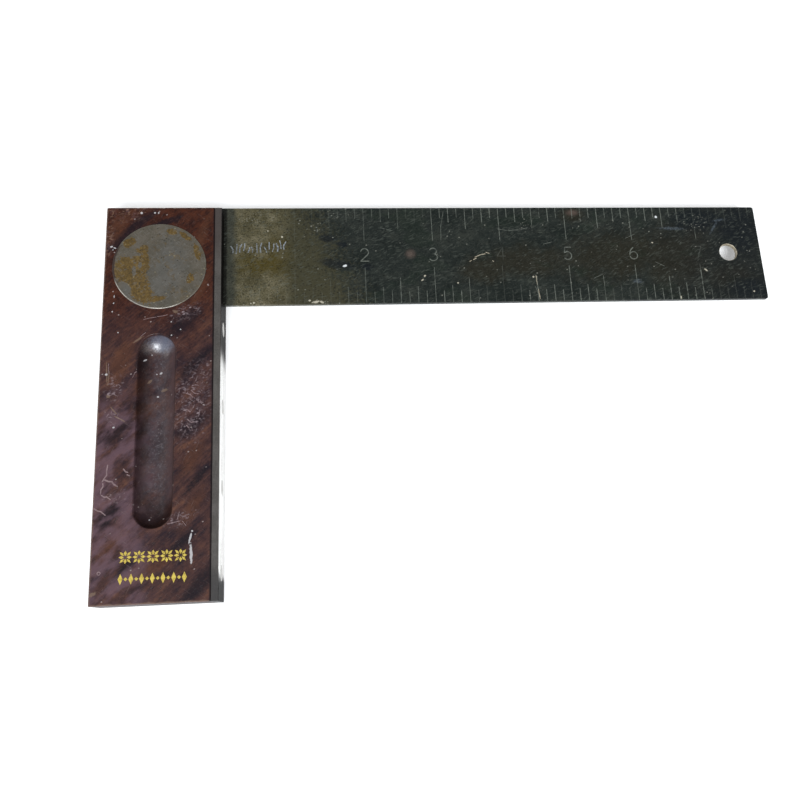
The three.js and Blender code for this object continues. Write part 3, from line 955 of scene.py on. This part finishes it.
# Cracks and deep scratches on the stock's front: the points of each, and its width before widening
CRACKS = [
    ([(-35.7, -6.6), (-36, -8.6), (-35.9, -9.9), (-36.8, -11.3), (-37.2, -12)], 0.3),
    ([(-36.4, -11.5), (-35.3, -12), (-34.2, -12.1), (-33.4, -13.1), (-32.4, -13.7)], 0.36),
    ([(-37, -12.6), (-36.9, -13.6), (-37.5, -14.6), (-37.6, -16)], 0.28),
    ([(-37.3, -16.4), (-36.3, -17.1), (-35.6, -17), (-34.4, -17.9)], 0.3),
    ([(-39.5, -20.6), (-38.2, -21.4), (-37.2, -21.7), (-35.8, -22.9)], 0.28),
    ([(-30.7, -8.1), (-30, -9), (-29.3, -9.2)], 0.3), ([(-29.5, -10), (-28.7, -10.3)], 0.3),
    ([(-26, 43.6), (-23.9, 44.1), (-21.8, 44.4)], 0.14),
    ([(-21.4, 44.6), (-19.6, 44.8), (-17.9, 45.2)], 0.16), ([(-36.9, 28), (-36.8, 24.2)], 0.16),
    ([(-28.9, 23), (-28.2, 24.6), (-27.6, 25)], 0.16), ([(-26.8, 37.4), (-25.2, 38.8)], 0.16),
    ([(-11.2, 17), (-9.9, 16.6), (-9, 15.6)], 0.22), ([(-9.6, 18), (-8.4, 16.9), (-7.2, 16.8)], 0.2),
    ([(-12, 11.2), (-10.6, 11.3), (-9.9, 10.6)], 0.26), ([(-10.6, 8), (-9.4, 6.9), (-8.6, 7.1)], 0.22),
    ([(-10.9, 6), (-10, 5)], 0.26), ([(-7.2, 13.9), (-5.4, 13.7)], 0.16),
    ([(-13.2, -25), (-12.6, -22.6)], 0.2), ([(-16.3, -26.4), (-12.6, -25.6)], 0.2),
    ([(-11.6, -25.6), (-10.4, -27.2)], 0.16),
]


def clear_of(place, radii, others):
    """Whether a lump's box misses the boxes of all the others, which are (place, radii) too."""
    for spot, reach in others:
        if all(abs(place[i] - spot[i]) < radii[i] + reach[i] for i in range(3)):
            return False
    return True


def edge_chips():
    """Small rounded nicks along the stock's long outer edges and round its two ends."""
    luck = random.Random(SEED)
    chips = Solids()
    cut = []
    edges = [("y", STOCK_LOW.x, 26), ("x", STOCK_LOW.y, 12), ("x", STOCK_HIGH.y, 10)]
    for side in (1, -1):
        for along, fixed, count in edges:
            for _ in range(count):
                size = luck.uniform(0.5, 1.3)
                sink = luck.uniform(0.28, 0.46) if along == "y" else luck.uniform(0.16, 0.3)
                out = (size - sink) / math.sqrt(2)
                z = side * (FACE_Z + out)
                if along == "y":
                    place = (fixed - out, luck.uniform(STOCK_LOW.y + 2, STOCK_HIGH.y - 2), z)
                    radii = (size, size * luck.uniform(0.8, 2.4), size)
                else:
                    away = math.copysign(out, fixed)
                    place = (luck.uniform(STOCK_LOW.x + 2, STOCK_HIGH.x - 2), fixed + away, z)
                    radii = (size * luck.uniform(0.8, 2), size, size)
                if clear_of(place, radii, cut):
                    cut.append((place, radii))
                    chips.ball(place, radii)
    chips.scribe(arc(-37, -41.1, 0.48, 0.48, 0, 320, 22), 0.26, 0.05, FACE_Z, 1)
    return chips


# ---------------- blade

DIGIT_HEIGHT = 5
DIGIT_WIDTH = 3.4
DIGIT_LINE = 0.38
SCORE_DEPTH = 0.07
# One-line numerals in a unit box, each as its strokes
DIGITS = {
    1: [[(0.3, 0.82), (0.52, 1)], [(0.52, 1), (0.52, 0)]],
    2: [arc(0.5, 0.7, 0.42, 0.3, 165, -35) + [(0.06, 0)], [(0.06, 0), (0.96, 0)]],
    3: [arc(0.47, 0.76, 0.38, 0.24, 150, -80), arc(0.47, 0.27, 0.45, 0.27, 80, -150)],
    4: [[(0.7, 0), (0.7, 1)], [(0.7, 1), (0.04, 0.32)], [(0.04, 0.32), (0.98, 0.32)]],
    5: [[(0.9, 1), (0.22, 1)], [(0.22, 1), (0.14, 0.56)], arc(0.47, 0.32, 0.44, 0.32, 128, -145)],
    6: [arc(0.92, 0.3, 0.86, 0.72, 118, 180, 8), arc(0.5, 0.3, 0.44, 0.3, 195, 525, 22)],
    7: [[(0.05, 1), (0.95, 1)], [(0.95, 1), (0.38, 0)]],
}
# Line length from the outer edge and from the inner edge, by the line's rank
LINE_LENGTHS = {"inch": (13.4, 14.2), "half": (8.7, 9.7), "quarter": (6, 6.4), "eighth": (4.3, 4.6)}


def line_rank(eighths):
    if eighths % 8 == 0:
        return "inch"
    if eighths % 4 == 0:
        return "half"
    return "quarter" if eighths % 2 == 0 else "eighth"


def graduations():
    """Inch lines with halves, quarters and eighths along both edges."""
    luck = random.Random(SEED + 1)
    lines = Solids()
    last = int((BLADE_HIGH.x - 1) / INCH * 8)
    for eighths in range(2, last + 1):
        x = eighths * INCH / 8
        outer, inner = LINE_LENGTHS[line_rank(eighths)]
        for edge, way, length in ((BLADE_HIGH.y, -1, outer), (BLADE_LOW.y, 1, inner)):
            end = edge + way * (length + luck.uniform(-0.25, 0.25))
            lines.scribe([(x, edge - way), (x, end)], luck.uniform(0.22, 0.33), SCORE_DEPTH, BLADE_Z, 1)
    return lines


def numerals():
    """The inch numbers along the middle of the blade."""
    lines = Solids()
    for digit, strokes in DIGITS.items():
        left = digit * INCH - DIGIT_WIDTH / 2
        foot = BLADE_MIDDLE_Y - DIGIT_HEIGHT / 2
        for stroke in strokes:
            points = [(left + x * DIGIT_WIDTH, foot + y * DIGIT_HEIGHT) for x, y in stroke]
            lines.scribe(points, DIGIT_LINE, SCORE_DEPTH, BLADE_Z, 1)
    return lines


def scribbles():
    """An unreadable row of scratches near the stock, and a few long stray ones."""
    luck = random.Random(SEED + 2)
    marks = Solids()
    x = 3
    for _ in range(14):
        height = luck.uniform(1.6, 3.9)
        low = 71.2 + luck.uniform(-0.5, 0.7) + 0.05 * x
        lean = luck.uniform(-0.7, 0.9)
        bow = luck.uniform(-0.4, 0.4)
        points = [(x - lean / 2, low), (x + bow, low + height / 2), (x + lean, low + height)]
        marks.scribe(points, luck.uniform(0.36, 0.52), 0.06, BLADE_Z, 1)
        x += luck.uniform(1.2, 1.8)
    for lines, width, depth, slot in ((GOUGES, 0.27, 0.06, 3), (STRAY_LINES, 0.18, 0.05, 2)):
        for points in lines:
            marks.scribe(points, width, depth, BLADE_Z, slot)
    return marks


# Short bright gouges and long faint scratches on the blade's front
GOUGES = [
    [(89.6, 67.2), (90.3, 67.6)], [(91, 67.9), (92.1, 68.5)],
    [(91.6, 68.9), (93.9, 69.9), (95.6, 70.2)], [(95.9, 70.8), (97.1, 70.4)],
    [(98.2, 67.4), (98.6, 67.1)], [(114, 61.2), (114.3, 57.2)], [(114.4, 55.9), (114.8, 52)],
]
STRAY_LINES = [
    [(101, 80.4), (104.5, 79.7), (109, 79.9), (112.6, 80.8)], [(80.9, 87.6), (79.6, 81.5), (79.4, 76)],
    [(113.4, 57), (114.6, 53)], [(118, 74), (121.4, 74.9)], [(136, 60), (139.6, 61.6)],
    [(150, 76.2), (153.8, 77.9)], [(57, 81), (61.2, 79.9)], [(160.5, 66.4), (163.8, 64.6)],
]


def blade_outline(inset, z):
    """The blade's plan with its two free corners rounded."""
    corner = BLADE_CORNER
    right = BLADE_HIGH.x - corner
    ring = [(BLADE_LOW.x + inset, BLADE_LOW.y + inset)]
    ring += arc(right, BLADE_LOW.y + corner, corner - inset, corner - inset, -90, 0, 8)
    ring += arc(right, BLADE_HIGH.y - corner, corner - inset, corner - inset, 0, 90, 8)
    ring += [(BLADE_LOW.x + inset, BLADE_HIGH.y - inset)]
    return [(x, y, z) for x, y in ring]


def blade_plate():
    steel = blade_steel("patinated_steel")
    # bright steel: painted light on the hanging hole's wall, and bare steel in the gouges
    worn = lit_hole_and_gouge_steel()
    outlines = [blade_outline(inset, z) for inset, z in soft_levels(-BLADE_Z, BLADE_Z, BLADE_EDGE)]
    piece = Solids().loft(outlines).piece("blade_plate", steel)

    hole_x = BLADE_HIGH.x - HANGING_HOLE_TO_END
    steps = ((PAST, HOLE_FLARE + PAST), (0, HOLE_FLARE), (-HOLE_FLARE, 0))
    levels = [(-BLADE_Z - z, r) for z, r in steps] + [(BLADE_Z + z, r) for z, r in steps[::-1]]
    rings = [circle(HANGING_HOLE_RADIUS + r, hole_x, BLADE_MIDDLE_Y, z) for z, r in levels]
    # the hole's wall takes the bright steel: painted light
    carve(piece, Solids().loft(rings, 1), steel, worn)
    carve(piece, rivet_holes(-THROUGH, THROUGH), steel)
    pale = blade_steel("scored_steel", scored=0.62)
    carve(piece, graduations(), steel, pale)
    carve(piece, numerals(), steel, pale, crossing=True)
    carve(piece, scribbles(), steel, bare_steel(), pale, worn, crossing=True)
    return dress(piece, "blade_steel", "blade")


# ---------------- fittings


def facing_edge():
    steel = strip_steel()
    rings = []
    for inset, z in soft_levels(STRIP_LOW.z, STRIP_HIGH.z, STRIP_EDGE):
        low_x, high_x = STRIP_LOW.x + inset / 2, STRIP_HIGH.x - inset
        rings.append(rectangle(low_x, STRIP_LOW.y + inset, high_x, STRIP_HIGH.y - inset, z))
    piece = Solids().loft(rings).piece("facing_edge", steel)
    slot = Solids().block((STRIP_LOW.x - PAST, BLADE_LOW.y, -SLOT_Z), (PAST, STRIP_HIGH.y + PAST, SLOT_Z))
    carve(piece, slot, steel)
    seats = Solids()
    for node in PINS:
        seats.loft(pin_rings(node, HAIRLINE, over=PAST))
    carve(piece, seats, steel)
    return dress(piece, "facing_steel", "facing_strip")


def pin_rings(node, play, over=0):
    """A countersunk pin along X as rings, with play round it and a length over its head."""
    low, high = box_mm(node)
    y = (low.y + high.y) / 2
    head = (high.y - low.y) / 2
    shank = head * 0.46
    depth = head * 0.54
    profile = [(low.x, shank * 0.7), (low.x + 0.6, shank)]
    profile += [(high.x - depth, shank), (high.x - PIN_EDGE, head)]
    profile += [(high.x, head), (high.x + over, head)] if over else [(high.x, head - PIN_EDGE)]
    rings = []
    for x, radius in profile:
        rings.append([(x, y + b, c) for b, c, _ in circle(radius + play, 0, 0, 0, ROUND)])
    return rings


def facing_pins():
    steel = pin_steel()
    for number, node in enumerate(PINS, 1):
        pin = Solids().loft(pin_rings(node, 0))
        dress(pin.piece(f"pin_head_{number}", steel), "pin_steel", node)


def plate_disc(node, side):
    steel = plate_steel(f"{node}_finish", side)
    profile = [(PLATE_RADIUS, PLATE_LOW.z), (PLATE_RADIUS, PLATE_Z - PLATE_EDGE)]
    for i in range(1, 6):
        turn = math.pi / 2 * i / 5
        drop = PLATE_EDGE * (1 - math.sin(turn))
        profile.append((PLATE_RADIUS - PLATE_EDGE * (1 - math.cos(turn)), PLATE_Z - drop))
    rings = [circle(r, PLATE_X, PLATE_Y, side * z, PLATE_ROUND) for r, z in profile]
    piece = Solids().loft(rings).piece(f"{node}_disc", steel)
    carve(piece, rivet_holes(side * (PLATE_LOW.z - PAST), side * (PLATE_Z + PAST)), steel)
    return dress(piece, "plate_steel", node)


def rivets():
    """Rivets filed flush: each end has a hairline edge and the plate's own finish."""
    steel = plate_steel("rivet_finish", 1)
    for number, node in enumerate(RIVETS, 1):
        low, high = box_mm(node)
        rivet = Solids().loft(rivet_rings(node, *soft_levels(low.z, high.z, RIVET_EDGE)))
        dress(rivet.piece(f"rivet_{number}", steel), "rivet_steel", node)


# The foil ornament's place on the stock, and how far it stands above it
FOIL_LEFT = -31.2
FOIL_RIGHT = -9.8
FOIL_UPPER_Y = -36.4
FOIL_LOWER_Y = -43.2
FOIL_RISE = 0.02
FLOWERS = 5
BEADS = 13


def kite(x, y, degrees, near, far, half_width):
    """Four corners: a lozenge that points away from a centre, between two distances from it."""
    turn = math.radians(degrees)
    middle = near + (far - near) * 0.5
    corners = [(near, 0), (middle, -half_width), (far, 0), (middle, half_width)]
    along, across = (math.cos(turn), math.sin(turn)), (-math.sin(turn), math.cos(turn))
    return [(x + a * along[0] + b * across[0], y + a * along[1] + b * across[1]) for a, b in corners]


def foil_motif():
    """A plain stamped ornament: a row of eight-petalled flowers over a row of lozenges and beads."""
    shapes = []
    pitch = (FOIL_RIGHT - FOIL_LEFT) / FLOWERS
    for i in range(FLOWERS):
        x = FOIL_LEFT + (i + 0.5) * pitch
        for degrees in range(0, 360, 90):
            shapes.append(kite(x, FOIL_UPPER_Y, degrees, 0.4, 2.05, 0.5))
            shapes.append(kite(x, FOIL_UPPER_Y, degrees + 45, 0.55, 2.45, 0.4))
    step = (FOIL_RIGHT - FOIL_LEFT) / BEADS
    for i in range(BEADS):
        x = FOIL_LEFT + (i + 0.5) * step
        half_width, half_height = (0.75, 1.7) if i % 2 == 0 else (0.6, 0.6)
        shapes.append(kite(x - half_width, FOIL_LOWER_Y, 0, 0, 2 * half_width, half_height))
    foil = Solids()
    for points in shapes:
        foil.loft([[(x, y, z) for x, y in points] for z in (FACE_Z - 0.05, FACE_Z + FOIL_RISE)])
    return dress(foil.piece("foil_motif", foil_gold()), "gold_foil")


# ---------------- stage

# The photo's camera, as its inch lines give it
CAMERA_PLACE = (33.78, -61.56, 279.28)
CAMERA_TURN = (15.506, -4.847, -2.78)  # degrees about X, Y and Z
CAMERA_LENS = 37.31
LAMP_DISTANCE = 3  # metres, as are the floor's sizes
FLOOR_SIZE = 6
FLOOR_GAP = 0.00002  # so that no face of the object lies in the floor


def camera():
    made = new_object("camera", bpy.data.cameras.new("camera"))
    made.data.lens = CAMERA_LENS
    made.data.sensor_width = 36
    made.data.clip_start = 0.01
    made.location = Vector(CAMERA_PLACE) * MM
    made.rotation_euler = Euler([math.radians(a) for a in CAMERA_TURN])
    bpy.context.scene.camera = made


def softbox(name, direction, size, power, colour=(1, 1, 1)):
    """A square lamp that faces the middle of the object from the given direction."""
    lamp = bpy.data.lights.new(name, "AREA")
    lamp.shape = "SQUARE"
    lamp.size = size
    lamp.energy = power
    lamp.color = colour
    made = new_object(name, lamp)
    middle = (cad_box[0] + cad_box[1]) / 2
    way = Vector(direction).normalized()
    made.location = middle + way * LAMP_DISTANCE
    made.rotation_euler = way.to_track_quat("Z", "Y").to_euler()


def floor():
    half = FLOOR_SIZE / 2
    mesh = bpy.data.meshes.new("floor")
    mesh.from_pydata(rectangle(-half, -half, half, half, cad_box[0].z - FLOOR_GAP), [], [(0, 1, 2, 3)])
    g = Graph("floor_paper")
    g.colour = (0.86, 0.86, 0.86, 1)
    g.finish(0.9, Specular_IOR_Level=0.2, Emission_Color=g.colour, Emission_Strength=0.3)
    mesh.materials.append(g.material)
    new_object("floor", mesh)


def studio():
    softbox("key", (0.02, -0.56, 0.83), 1.4, 106, (0.94, 0.97, 1))
    softbox("left_fill", (-0.85, 0.05, 0.42), 3, 34)
    softbox("right_fill", (0.85, -0.25, 0.42), 3, 26)
    world = bpy.data.worlds.new("studio")
    world.use_nodes = True
    sky = world.node_tree.nodes["Background"]
    sky.inputs["Color"].default_value = (1, 1, 1, 1)
    sky.inputs["Strength"].default_value = 0.2
    bpy.context.scene.world = world
    bpy.context.scene.view_settings.view_transform = "Standard"


camera()
floor()
studio()
stock_wood()
blade_plate()
facing_edge()
facing_pins()
plate_disc("front_plate", 1)
plate_disc("rear_plate", -1)
rivets()
foil_motif()
